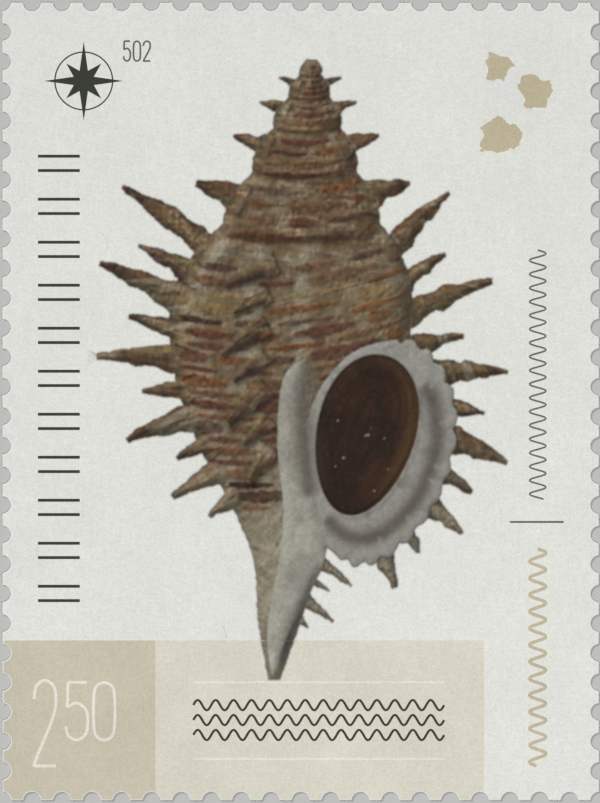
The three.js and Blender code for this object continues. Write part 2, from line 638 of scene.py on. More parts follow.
pillar = {
    "ground": ("ridge", "stone", "stone"),
    # down the left side from the mouth to the foot, and up the right side
    "outline": [(0.2, 2.2), (-0.9, 1.2), (-1.2, -2), (-0.9, -5.5), (-1.2, -8.5), (-1.7, -11.5),
                (-1.4, -13.9), (-0.7, -12), (0.5, -9.6), (1.3, -7.4), (0.7, -4.5), (0.3, -1)],
    "shades": [("dusk", 0.8, (0.8, 1.3, 0.9), [(0.5, 2.4), (0.1, -1), (0.5, -5)]),
               ("groove", 0.8, (0.6, 0.7, 0.5), [(1.1, -8), (-0.1, -10.6), (-1.1, -13.4)]),
               ("lipShade", 0.6, (0.25, 0.25, 0.2), [(0.8, -8.4), (-0.3, -11), (-1, -13)]),
               ("chalk", 0.6, (0.6, 0.8, 0.5), [(-0.9, -3), (-0.6, -7), (-1.3, -11)])],
}

growth = {  # the fine growth lines and cords that all of the shell shows
    "fan": (6.0, 6.6),  # below the shoulder the cords fan out from here
    "shoulder": (7.0, 8.3),
    "crown": (15.7, 14.5),
    "foot": (-6.0, -2.9),
    "light": (-0.42, 0.55, 0.72),  # the way to the picture's own light
    "inkDepth": 1.1,
    "crisp": 0.28,
}


def fanPlace(canvas):
    # distance and bearing from the point that the cords fan out from, and how far above the shoulder
    fanX, fanY = growth["fan"]
    away = np.hypot(canvas.x - fanX, canvas.y - fanY)
    bearing = np.arctan2(canvas.y - fanY, fanX - canvas.x)
    return away, bearing, ramp(*growth["shoulder"], canvas.y)


def axisAt(y):
    start, lean = shell["axis"]
    return start + lean * y


def seamHeights():
    # the seams between the whorls, from the tip down
    heights = shell["firstWhorl"] * shell["growth"] ** np.arange(shell["whorls"])
    return shell["tip"] - np.concatenate([[0], np.cumsum(heights)])


def shellEdge(side):
    # the shell's edge from its tip to its foot; side is -1 on the left and 1 on the right
    edge = []
    seams = seamHeights()
    for top, low in zip(seams[:-1], seams[1:]):
        for part in np.linspace(0, 1, 7)[:-1]:
            y = mix(top, low, part)
            reach = shell["tipReach"] + shell["spireSlope"] * (shell["tip"] - y)
            reach += shell["bulge"] * (top - low) * np.sin(np.pi * part)
            edge.append((axisAt(y) + side * reach, y))
    for y, left, right in shell["body"]:
        edge.append((axisAt(y) + side * (left if side < 0 else right), y))
    spireEnd = 6 * shell["whorls"]
    return np.vstack([edge[:spireEnd], smoothPath(edge[spireEnd - 1:], 0.5)[1:]])


eggPoints = 120  # round an egg, counted from its right side over the top


def eggOutline(part, crimps=0, crimpDepth=0, scale=1.0):
    # an egg, narrower at its foot, with its right side crimped
    middle, radii, tilt, narrow = [part[key] for key in ("middle", "radii", "tilt", "narrow")]
    turn = np.linspace(0, 2 * np.pi, eggPoints, endpoint=False)
    crimped = 1 + crimpDepth * np.abs(np.cos(crimps * turn / 2)) * ramp(-0.3, 0.2, np.cos(turn))
    across = scale * radii[0] * np.cos(turn) * (1 + narrow * np.sin(turn)) * crimped
    up = scale * radii[1] * np.sin(turn) * crimped
    c, s = np.cos(np.radians(tilt)), np.sin(np.radians(tilt))
    return np.c_[middle[0] + across * c - up * s, middle[1] + across * s + up * c]


def growSpine(canvas, root, bearing, length, width, hook, tone, seed, base=0.1, rise=0.35):
    # a frilled spine that narrows to its tip and hooks by so many degrees on the way
    along = np.linspace(0, 1, spineShape["points"])
    turn = np.radians(bearing + hook * along)
    steps = length / (spineShape["points"] - 1) * np.c_[np.cos(turn), np.sin(turn)]
    middle = np.array(root) + np.vstack([[0, 0], np.cumsum(steps[:-1], axis=0)])
    outward = np.c_[-np.sin(turn), np.cos(turn)]
    sides = []
    for side in (1, -1):
        waves = valueNoise(along * length * spineShape["frillPitch"], along * 0 + 7.3 * side, seed)
        narrowing = 1 - spineShape["taper"] * along ** spineShape["taperPower"]
        half = width / 2 * narrowing * (1 + spineShape["frill"] * waves)
        sides.append(middle + side * half[:, None] * outward)
    outline = np.vstack([sides[0], sides[1][::-1]])
    laySpine(canvas, outline, middle[::5], tone, seed, base=base, rise=rise, root=0.9, fade="tan")


def growRow(canvas, path, row):
    # long and short spines by turns along the path
    chance = np.random.default_rng(row["seed"])
    buried = spineShape["buried"]
    steps = np.hypot(*np.diff(path, axis=0).T)
    run = np.concatenate([[0], np.cumsum(steps)])
    for index, part in enumerate(np.linspace(0.02, 0.98, row["count"])):
        at = part * run[-1]
        bearing = mix(*row["bearings"], part) + chance.uniform(-7, 7)
        size = (spineShape["shortShare"] if index % 2 else 1) * chance.uniform(0.85, 1.15)
        length = buried + mix(*row["lengths"], part) * size
        way = np.array([np.cos(np.radians(bearing)), np.sin(np.radians(bearing))])
        root = np.array([np.interp(at, run, path[:, 0]), np.interp(at, run, path[:, 1])]) - buried * way
        tone = spineTones[chance.integers(len(spineTones))]
        growSpine(canvas, root, bearing, length, row["width"] * (0.6 + 0.4 * size), row["hook"], tone,
                  row["seed"] + index, base=row["base"])


def pathBetween(path, top, low):
    return path[(path[:, 1] <= top) & (path[:, 1] >= low)]


def strokeCord(canvas, left, right, height, rise, sag, width, chance, seed):
    # a cord round a whorl, coloured in broken stretches of uneven length
    middle, reach = (left + right) / 2, (right - left) / 2
    start = left + chance.uniform(0, 0.6)
    while start < right - 0.5:
        end = min(right, start + chance.uniform(1.2, 4.6))
        x = np.linspace(start, end, 4)
        y = height + rise * (x - middle) - sag * (reach ** 2 - (x - middle) ** 2)
        tone = cordTones[chance.integers(len(cordTones))]
        full = width * chance.uniform(0.6, 1.3)
        layCord(canvas, tone, chance.uniform(0.6, 0.95), (0.4 * full, full, 0.7 * full, 0.3 * full),
                np.c_[x, y], seed)
        start = end + chance.uniform(0.1, 0.8)
        seed += 1


def cordBody(canvas):
    chance = np.random.default_rng(bodyCords["seed"])
    leftEdge, rightEdge = shellEdge(-1), shellEdge(1)
    heights = np.arange(bodyCords["top"], bodyCords["low"], -bodyCords["spacing"])
    for index, height in enumerate(heights):
        left = np.interp(-height, -leftEdge[:, 1], leftEdge[:, 0]) + 0.2
        right = np.interp(-height, -rightEdge[:, 1], rightEdge[:, 0]) - 0.2
        width = bodyCords["wide"] if index % 2 else bodyCords["narrow"]
        strokeCord(canvas, left, right, height, bodyCords["rise"], bodyCords["sag"], width, chance,
                   bodyCords["seed"] + 10 * index)


def cordSpire(canvas):
    chance = np.random.default_rng(spireCords["seed"])
    seams = seamHeights()
    for index, (top, low) in enumerate(zip(seams[:-1], seams[1:])):
        tall = top - low
        for line in range(spireCords["perWhorl"]):
            height = top - tall * (line + 0.7) / spireCords["perWhorl"]
            reach = shell["tipReach"] + shell["spireSlope"] * (shell["tip"] - height)
            sag = spireCords["sag"] * tall / max(reach, 0.4) ** 2
            middle = axisAt(height)
            strokeCord(canvas, middle - reach, middle + reach, height, spireCords["rise"], sag,
                       spireCords["width"] * tall, chance, spireCords["seed"] + 40 * index + 10 * line)
        reach = shell["tipReach"] + shell["spireSlope"] * (shell["tip"] - low)
        across = np.linspace(-0.95 * reach, 0.95 * reach, 7)
        seam = np.c_[axisAt(low) + across, low - 0.12 * tall * (1 - (across / reach) ** 2)]
        layShade(canvas, "dark", 0.55, (0.16 * tall, 0.2 * tall), seam, seed=450 + index, ends=0.2)


def layRibs(canvas):
    # the swollen ribs that the rows of spines stand on, pale on top and dusky beside
    leftEdge, rightEdge = shellEdge(-1), shellEdge(1)
    heights = np.linspace(ribs["top"], ribs["low"], 8)
    left = np.interp(-heights, -leftEdge[:, 1], leftEdge[:, 0])
    right = np.interp(-heights, -rightEdge[:, 1], rightEdge[:, 0])
    for index, place in enumerate(ribs["places"]):
        x = (left + right) / 2 + place * (right - left) / 2
        rib = np.c_[x, heights]
        layShade(canvas, ribs["tone"], ribs["strength"], (0.6 * ribs["width"], ribs["width"]), rib,
                 seed=ribs["seed"] + index)
        layShade(canvas, "bark", 0.5, (0.5, 0.8), rib + (ribs["duskBeside"], 0),
                 seed=ribs["seed"] + 10 + index)


def layGround(canvas):
    # brown and cream mottling on the spire, and tan and pale cords on the body
    x, y, solid = canvas.x, canvas.y, canvas.cover > 0.5
    away, bearing, above = fanPlace(canvas)
    spire = above * ramp(*growth["crown"], y) * solid
    brown = ramp(0.05, 0.55, grain(x * 0.55 + 0.1 * y, y * 2.3, 401, 3) + 0.15) * spire
    cream = ramp(0.2, 0.6, grain(x * 1.3 + 5, y * 2.0, 402, 3)) * spire
    canvas.ink = mix(canvas.ink, tones["brown"], 0.69 * brown)
    canvas.ink = mix(canvas.ink, tones["cream"], 0.5 * cream)
    whorl = (1 - above) * ramp(*growth["foot"], y) * solid
    cords = grain(away * 0.35, bearing * 26, 403, 3)
    canvas.ink = mix(canvas.ink, tones["ochre"], 0.6 * ramp(0.1, 0.7, cords) * whorl)
    canvas.ink = mix(canvas.ink, tones["pale"], 0.6 * ramp(-0.1, -0.7, cords) * whorl)
    canvas.ink = mix(canvas.ink, tones["bone"], 0.6 * ramp(-1.5, -7.5, y) * solid)


def paintSpireSpines(canvas):
    seams = seamHeights()
    for index, (top, low) in enumerate(zip(seams[1:-1], seams[2:])):
        tall, y = top - low, mix(top, low, 0.45)
        reach = shell["tipReach"] + shell["spireSlope"] * (shell["tip"] - y)
        for side in (-1, 1):
            bearing = 90 - side * (90 - spireSpine["bearing"])
            root = (axisAt(y) + side * (reach - spireSpine["buried"]), y)
            growSpine(canvas, root, bearing, spireSpine["buried"] + spireSpine["length"] * tall,
                      spireSpine["width"] * tall, -side * spireSpine["hook"], spineTones[index % 4],
                      spireSpine["seed"] + 2 * index + side, rise=0.25)


def paintMouth(canvas):
    outline = eggOutline(mouth, crimps=mouth["crimps"], crimpDepth=mouth["crimpDepth"])
    layPatch(canvas, outline, mouth["ground"], rise=0.07, rim=0.4, seed=230, rough=0.035, soft=0.07,
             base=0.6, shadow=0.1, speck=0.04, blotch=0.7, polish=0.85)
    throat = eggOutline(mouth, scale=mouth["inner"])
    rim = eggOutline(mouth, scale=mouth["rim"])
    # both run from low on the mouth up its right side
    layShade(canvas, "lipWhite", 0.5, (0.8, 0.9), np.vstack([rim[90:], rim[:30]]), seed=236)
    layShade(canvas, "lipShade", 0.9, (0.8, 0.9, 1.1), np.vstack([throat[78:], throat[:22]]), seed=233)
    for index in range(0, eggPoints, mouth["foldEvery"]):
        if np.cos(2 * np.pi * index / eggPoints) > 0:
            fold = [outline[index], throat[index]]
            layShade(canvas, "lipWhite", 0.5, (0.4, 0.2), fold, seed=240 + index, ends=0.25)


def paintTrapdoor(canvas):
    outline = eggOutline(trapdoor)
    window, depth, mask = layPatch(canvas, outline, trapdoor["ground"], rise=0.12, rim=0.5, seed=260,
                                   rough=0.012, base=0.45, shadow=0.12, speck=0.08, blotch=0.5, polish=0.6)
    middle = trapdoor["middle"]
    turn = np.arctan2(canvas.y[window] - middle[1], canvas.x[window] - middle[0])
    rings = grain(depth * 7, turn * 1.2, 267, 2) * mask
    sheen = ramp(0.9, 0.3, depth) * ramp(-0.2, 0.9, np.cos(turn)) * mask
    canvas.ink[window] = mix(canvas.ink[window], tones["amber"], 0.7 * sheen)
    canvas.ink[window] *= (1 + 0.09 * rings)[..., None]
    canvas.relief[window] += 0.02 * rings
    grit = ramp(0.3, 0.9, grain(canvas.x[window] * 11, canvas.y[window] * 11, 275, 2)) * mask
    canvas.ink[window] = mix(canvas.ink[window], tones["lipShade"], 0.4 * grit)
    chance = np.random.default_rng(trapdoor["seed"])
    for speck in range(trapdoor["specks"]):
        angle = chance.uniform(0, 2 * np.pi)
        share = chance.uniform(0, 0.8)
        radius = chance.uniform(0.04, 0.1)
        x = middle[0] + share * trapdoor["radii"][0] * np.cos(angle)
        y = middle[1] + share * trapdoor["radii"][1] * np.sin(angle)
        layStain(canvas, "lipWhite", 0.7, (x, y), (radius, radius), seed=268, ragged=0.1)


def paintPillar(canvas):
    ends = pillar["outline"]
    outline = smoothPath(ends + ends[:1], 0.4)[:-1]
    layPatch(canvas, outline, pillar["ground"], rise=0.10, rim=0.6, seed=270, rough=0.015, soft=0.08,
             base=0.62, shadow=0, speck=0.04, blotch=0.7, polish=0.7)
    for index, shade in enumerate(pillar["shades"]):
        layShade(canvas, *shade, seed=271 + index)


def paintShell():
    canvas = Canvas(**shellCanvas)
    leftEdge, rightEdge = shellEdge(-1), shellEdge(1)
    lipEdge = eggOutline(mouth)
    # the row behind the mouth runs down the body, then round the mouth's right side
    behind = np.vstack([pathBetween(rightEdge, 8.4, 4.0), lipEdge[22::-1], lipEdge[:97:-1]])
    growRow(canvas, behind, rightRow)
    growRow(canvas, pathBetween(rightEdge, -7.6, -11.2), canalRow)
    layPatch(canvas, np.vstack([leftEdge, rightEdge[::-1]]), shell["ground"], rise=0.65, rim=1.2, seed=100,
             edge="moss")
    growRow(canvas, pathBetween(leftEdge, 8.2, -5.4), leftRow)
    paintSpireSpines(canvas)
    layGround(canvas)
    layRibs(canvas)
    cordSpire(canvas)
    cordBody(canvas)
    front = pathBetween(leftEdge, 7.2, -3.6)
    inward = frontRow["inward"]
    front[:, 0] = (1 - inward) * front[:, 0] + inward * axisAt(front[:, 1])
    growRow(canvas, front, frontRow)
    paintMouth(canvas)
    paintTrapdoor(canvas)
    paintPillar(canvas)
    return canvas


def lightShell(canvas):
    # the picture's own light and shade, worked out from the relief that the strokes left
    x, y = canvas.x, canvas.y
    matt = canvas.cover * (1 - canvas.polish)
    away, bearing, above = fanPlace(canvas)
    streak = mix(grain(away * 0.7, bearing * 55, 311, 3), grain(x * 0.8, y * 6.5, 312, 3), above)
    tick = mix(grain(away * 6.5, bearing * 20, 313, 2), grain(x * 6, y * 4, 314, 3), above)
    pores = 0.028 * grain(x * 9, y * 3, 301, 2) + 0.024 * grain(x * 7, y * 7, 302, 2)
    height = canvas.relief + (pores + (0.025 + 0.02 * above) * (streak + tick)) * matt
    wear = (0.05 + 0.05 * above) * (streak + tick) + 0.06 * grain(x * 7, y * 7, 321, 2)
    wear = wear + 0.10 * grain(x * 2.2, y * 2.6, 322, 3)
    ink = canvas.ink * (1 + wear * matt)[..., None]
    ink = ink * (1 + 0.08 * grain(x * 13, y * 13, 331, 2) * canvas.cover)[..., None]
    height = blur(height, 0.8)
    around = blur(height * canvas.cover, 6) / (blur(canvas.cover, 6) + 0.001)
    height = mix(around, height, ramp(0.3, 0.7, canvas.cover))
    slopeY, slopeX = np.gradient(height, canvas.cell)
    lightX, lightY, lightZ = growth["light"]
    facing = (lightZ - slopeX * lightX - slopeY * lightY) / lightZ / np.sqrt(1 + slopeX ** 2 + slopeY ** 2)
    hollow = np.exp(-0.8 * np.clip(blur(height, 9) - height, 0, 1))
    lit = ink * ((0.62 + 0.38 * np.clip(facing, 0.35, 1.6)) * hollow)[..., None]
    # the ink as light, times its cover, so that the picture's edge is clean between mesh points
    cover = blur(canvas.cover, 1.1)
    seen = blur(lit * canvas.cover[..., None], 1.1) / (cover[..., None] + 1e-6)
    wide = blur(lit * canvas.cover[..., None], 3) / (blur(canvas.cover, 3)[..., None] + 1e-6)
    seen = np.clip(seen + growth["crisp"] * (seen - wide), 0, 1) ** growth["inkDepth"]
    return np.dstack([toLinear(255 * seen) * cover[..., None], cover])


canvas = paintShell()
shellPrint = lightShell(canvas)
print("picture: painted on", canvas.x.shape[1], "by", canvas.x.shape[0], "cells")


# the flat inks: panels, rules, figures, scale and small ornaments

flatTones = {
    "tan": (199, 192, 173),
    "beige": (215, 211, 197),
    "white": (226, 224, 212),
    "dark": (58, 60, 54),
    "caption": (104, 105, 98),
    "rule": (100, 101, 95),
    "island": (191, 181, 153),
    "stray": (207, 208, 202),
}

layout = {
    "bleed": (-16, -21),  # the panels run off the left and lower edges
    "panelTop": -12.0,
    "panelSplit": -7.3,
    "panelRight": 9.2,
    "rules": {"left": -5.4, "right": 7.2, "heights": (-14.1, -17.95), "width": 0.11},
    "figures": (  # figure, left, low, wide, tall, tone, width
        ("two", -13.4, -18.3, 1.1, 4.3, "white", 0.15), ("five", -11.8, -17.0, 1.1, 2.9, "white", 0.14),
        ("nought", -10.4, -17.0, 1.05, 2.9, "white", 0.14), ("five", -8.9, 17.1, 0.34, 1, "rule", 0.09),
        ("nought", -8.4, 17.1, 0.34, 1, "rule", 0.09), ("two", -7.9, 17.1, 0.34, 1, "rule", 0.09)),
    "scale": {
        "left": -13.2, "right": -11.1, "low": -10.0, "groups": 11, "pitch": 2.16, "gap": 0.72, "width": 0.15,
    },
    "compass": {
        "middle": (-10.9, 16.1), "points": 8, "long": 2.0, "short": 1.25, "waist": 0.55, "ring": 1.45,
    },
    "islands": (
        [(9.1, 12.6), (10.3, 12.5), (11.0, 13.3), (10.2, 14.2), (9.2, 13.8)],
        [(11.3, 14.9), (12.3, 14.8), (12.6, 15.8), (11.8, 16.4), (11.0, 15.9)],
        [(9.5, 16.3), (10.3, 16.2), (10.6, 17.0), (9.9, 17.5), (9.2, 17.0)],
    ),
    "dash": ((10.5, -6.05), (13.2, -6.05)),
    # running waves, each from its start to its end: (tone, start, end, swing, period, width)
    "waves": (
        ("caption", (11.9, 7.6), (11.9, -4.9), 0.42, 0.69, 0.09),
        ("island", (11.9, -7.4), (11.9, -18.3), 0.42, 0.84, 0.17),
        ("dark", (-5.4, -15.25), (7.2, -15.25), 0.26, 0.9, 0.12),
        ("dark", (-5.4, -16.0), (7.2, -16.0), 0.26, 0.9, 0.12),
        ("dark", (-5.4, -16.75), (7.2, -16.75), 0.26, 0.9, 0.12),
    ),
    # two stray fibres printed over
    "strays": (
        [(-10.1, 8.5), (-9.8, 8.2), (-9.7, 7.8), (-9.9, 7.5)],
        [(-3.9, -11.3), (-3.8, -11.6), (-3.7, -11.9)],
    ),
}

# the figures' strokes in a box one wide and one tall
figures = {
    "two": [[(0, 0.78), (0.1, 0.93), (0.5, 1), (0.9, 0.93), (1, 0.77), (0.88, 0.58), (0.45, 0.3),
             (0.12, 0.1), (0, 0)],
            [(0, 0), (1, 0)]],
    "five": [[(0.95, 1), (0.1, 1)], [(0.1, 1), (0.06, 0.57)],
             [(0.06, 0.57), (0.5, 0.64), (0.9, 0.53), (1, 0.32), (0.9, 0.1), (0.5, 0), (0.1, 0.08),
              (0, 0.24)]],
    "nought": [[(0.5, 1), (0.88, 0.93), (1, 0.72), (1, 0.28), (0.88, 0.07), (0.5, 0), (0.12, 0.07),
                (0, 0.28), (0, 0.72), (0.12, 0.93), (0.5, 1)]],
}


def ribbon(points, width):
    # the closed outline of a line of even width
    ahead = np.gradient(points, axis=0)
    ahead /= np.hypot(*ahead.T)[:, None]
    side = np.column_stack([-ahead[:, 1], ahead[:, 0]]) * width / 2
    return np.vstack([points + side, (points - side)[::-1]])


def gatherInks():
    # every flat shape as (tone, outline, line, width): an area has no line
    inks = []

    def area(tone, outline):
        inks.append((tone, np.array(outline, float), None, 0))

    def stroke(tone, points, width):
        points = np.array(points, float)
        inks.append((tone, ribbon(points, width), points, width))

    bleedX, bleedY = layout["bleed"]
    top, split, right = layout["panelTop"], layout["panelSplit"], layout["panelRight"]
    area("tan", [(bleedX, bleedY), (split, bleedY), (split, top), (bleedX, top)])
    area("beige", [(split, bleedY), (right, bleedY), (right, top), (split, top)])
    rules = layout["rules"]
    for height in rules["heights"]:
        stroke("white", [(rules["left"], height), (rules["right"], height)], rules["width"])
    for figure, left, low, wide, tall, tone, width in layout["figures"]:
        for points in figures[figure]:
            stroke(tone, smoothPath([(left + wide * x, low + tall * y) for x, y in points], 0.12), width)
    scale = layout["scale"]
    for mark in range(2 * scale["groups"]):
        height = scale["low"] + mark // 2 * scale["pitch"] + mark % 2 * scale["gap"]
        stroke("dark", [(scale["left"], height), (scale["right"], height)], scale["width"])
    compass = layout["compass"]
    turns = np.arange(2 * compass["points"]) * np.pi / compass["points"]
    reaches = (compass["long"], compass["waist"], compass["short"], compass["waist"])
    reach = [reaches[i % 4] for i in range(len(turns))]
    middle = np.array(compass["middle"])
    area("dark", middle + np.column_stack([np.sin(turns) * reach, np.cos(turns) * reach]))
    circle = np.linspace(0, 2 * np.pi, 49)
    stroke("dark", middle + compass["ring"] * np.column_stack([np.sin(circle), np.cos(circle)]), 0.07)
    for shore in layout["islands"]:
        coast = smoothPath([*shore, shore[0]], 0.07)[:-1]
        ragged = [grain(*(coast.T * 2.4), seed, 4) for seed in (31, 32)]
        area("island", coast + 0.3 * np.column_stack(ragged))
    stroke("rule", layout["dash"], 0.1)
    for tone, start, end, swing, period, width in layout["waves"]:
        start, end = np.array(start), np.array(end)
        length = np.hypot(*(end - start))
        along = np.linspace(0, length, int(length / period * 12))[:, None]
        ahead = (end - start) / length
        across = np.array([-ahead[1], ahead[0]])
        stroke(tone, start + ahead * along + across * swing * np.sin(2 * np.pi * along / period), width)
    for points in layout["strays"]:
        stroke("stray", smoothPath(points, 0.1), 0.05)
    return inks


def inkAt(inks, x, y):
    # the flat ink at each point: linear colour, and 1 where there is any
    found = np.zeros((len(x), 4))
    for tone, outline, line, width in inks:
        low, high = outline.min(0), outline.max(0)
        near = np.flatnonzero((x > low[0]) & (x < high[0]) & (y > low[1]) & (y < high[1]))
        if line is None:
            hit = depthInside(x[near], y[near], outline) > 0
        else:
            hit = np.abs(alongPath(x[near], y[near], line)[1]) < width / 2
        found[near[hit]] = (*toLinear(flatTones[tone]), 1)
    return found


# the sheet: perforations, torn edge, printed face and gummed back

sheet = {
    "gapsAcross": 20,
    "gapsDown": 27,
    "holeWide": 0.86,
    "holeSides": 26,
    "edgeStep": 0.1,
    "weld": 0.06,
    "tornDepth": 0.03,
    "holeWobble": 0.006,
    # rings down the edge: how far in from the outline, and the share of the thickness
    "rings": ((0.05, 1.0), (0.022, 0.88), (0.006, 0.64), (0.0, 0.3)),
    "fineStep": 0.05,  # between mesh points where the picture is busy; half as dense where it is calm
    "finePoints": 43000,
    "plainStep": 1.1,
    "seed": 7,
}


def startTree(name, sockets):
    tree = bpy.data.node_groups.new(name, "GeometryNodeTree")
    for label, kind in sockets:
        tree.interface.new_socket(label, in_out="INPUT", socket_type="NodeSocket" + kind)
    tree.interface.new_socket("Geometry", in_out="OUTPUT", socket_type="NodeSocketGeometry")
    return tree, addNode(tree, "NodeGroupInput").outputs


def addMath(tree, kind, *values):
    return addNode(tree, "ShaderNodeMath", dict(enumerate(values)), operation=kind).outputs[0]


def addChance(tree, low, high, seed):
    # a random number for each point
    drawn = addNode(tree, "FunctionNodeRandomValue", {2: low, 3: high, "Seed": seed}, data_type="FLOAT")
    return drawn.outputs[1]


def runTree(tree, mesh, **values):
    # the tree's result on the mesh, as a plain mesh without its modifier
    holder = makeObject(tree.name, mesh)
    modifier = holder.modifiers.new(tree.name, "NODES")
    modifier.node_group = tree
    for socket in tree.interface.items_tree:
        if socket.in_out == "INPUT" and socket.name in values:
            modifier[socket.identifier] = values[socket.name]
    made = bpy.data.meshes.new_from_object(holder.evaluated_get(bpy.context.evaluated_depsgraph_get()))
    bpy.data.objects.remove(holder)
    return made


def makePerforationTree():
    # holes on a line along each edge, bitten out of the sheet
    tree, given = startTree("perforatedSheet", (
        ("Wide", "Float"), ("Tall", "Float"), ("GapsAcross", "Int"), ("GapsDown", "Int"),
        ("HoleWide", "Float"), ("HoleSides", "Int"), ("EdgeStep", "Float"), ("Seed", "Int"),
        ("Material", "Material")))
    halfWide = addMath(tree, "MULTIPLY", given["Wide"], 0.5)
    halfTall = addMath(tree, "MULTIPLY", given["Tall"], 0.5)
    across = addMath(tree, "DIVIDE", given["Wide"], given["GapsAcross"])
    down = addMath(tree, "DIVIDE", given["Tall"], given["GapsDown"])
    centres = addNode(tree, "GeometryNodeJoinGeometry")

    def addLine(startX, startY, stepX, stepY, count):
        start = addNode(tree, "ShaderNodeCombineXYZ", {"X": startX, "Y": startY})
        step = addNode(tree, "ShaderNodeCombineXYZ", {"X": stepX, "Y": stepY})
        line = addNode(tree, "GeometryNodeMeshLine", {"Count": count, "Start Location": start.outputs[0],
                                                      "Offset": step.outputs[0]})
        tree.links.new(line.outputs[0], centres.inputs[0])

    for side in (-1, 1):
        left = addMath(tree, "MULTIPLY", halfWide, -1)
        height = addMath(tree, "MULTIPLY", halfTall, side)
        addLine(left, height, across, 0.0, addMath(tree, "ADD", given["GapsAcross"], 1))
        low = addMath(tree, "SUBTRACT", down, halfTall)
        place = addMath(tree, "MULTIPLY", halfWide, side)
        addLine(place, low, 0.0, down, addMath(tree, "SUBTRACT", given["GapsDown"], 1))
    radius = addMath(tree, "MULTIPLY", given["HoleWide"], 0.5)
    hole = addNode(tree, "GeometryNodeCurvePrimitiveCircle", {
        "Resolution": given["HoleSides"], "Radius": radius})
    turn = addNode(tree, "ShaderNodeCombineXYZ", {"Z": addChance(tree, 0.0, 6.28, given["Seed"])})
    holes = addNode(tree, "GeometryNodeInstanceOnPoints", {
        "Points": centres.outputs[0], "Instance": hole.outputs[0], "Rotation": turn.outputs[0],
        "Scale": addChance(tree, 0.98, 1.01, given["Seed"])})
    border = addNode(tree, "GeometryNodeCurvePrimitiveQuadrilateral", {"Width": given["Wide"],
                                                                       "Height": given["Tall"]})
    border = addNode(tree, "GeometryNodeResampleCurve", {
        "Curve": border.outputs[0], "Length": given["EdgeStep"]}, mode="LENGTH")
    outlines = addNode(tree, "GeometryNodeJoinGeometry")
    bites = addNode(tree, "GeometryNodeRealizeInstances", {0: holes.outputs[0]})
    tree.links.new(bites.outputs[0], outlines.inputs[0])
    tree.links.new(border.outputs[0], outlines.inputs[0])
    filled = addNode(tree, "GeometryNodeFillCurve", {0: outlines.outputs[0]}, mode="TRIANGLES")
    position = addNode(tree, "GeometryNodeInputPosition")
    place = addNode(tree, "ShaderNodeSeparateXYZ", {0: position.outputs[0]})
    beyondX = addMath(tree, "GREATER_THAN", addMath(tree, "ABSOLUTE", place.outputs[0]), halfWide)
    beyondY = addMath(tree, "GREATER_THAN", addMath(tree, "ABSOLUTE", place.outputs[1]), halfTall)
    beyond = addMath(tree, "MAXIMUM", beyondX, beyondY)
    kept = addNode(tree, "GeometryNodeDeleteGeometry", {
        "Geometry": filled.outputs[0], "Selection": beyond}, domain="FACE")
    plain = addNode(tree, "GeometryNodeRealizeInstances", {0: kept.outputs[0]})
    finished = addNode(tree, "GeometryNodeSetMaterial", {"Geometry": plain.outputs[0],
                                                         "Material": given["Material"]})
    addNode(tree, "NodeGroupOutput", {0: finished.outputs[0]})
    return tree


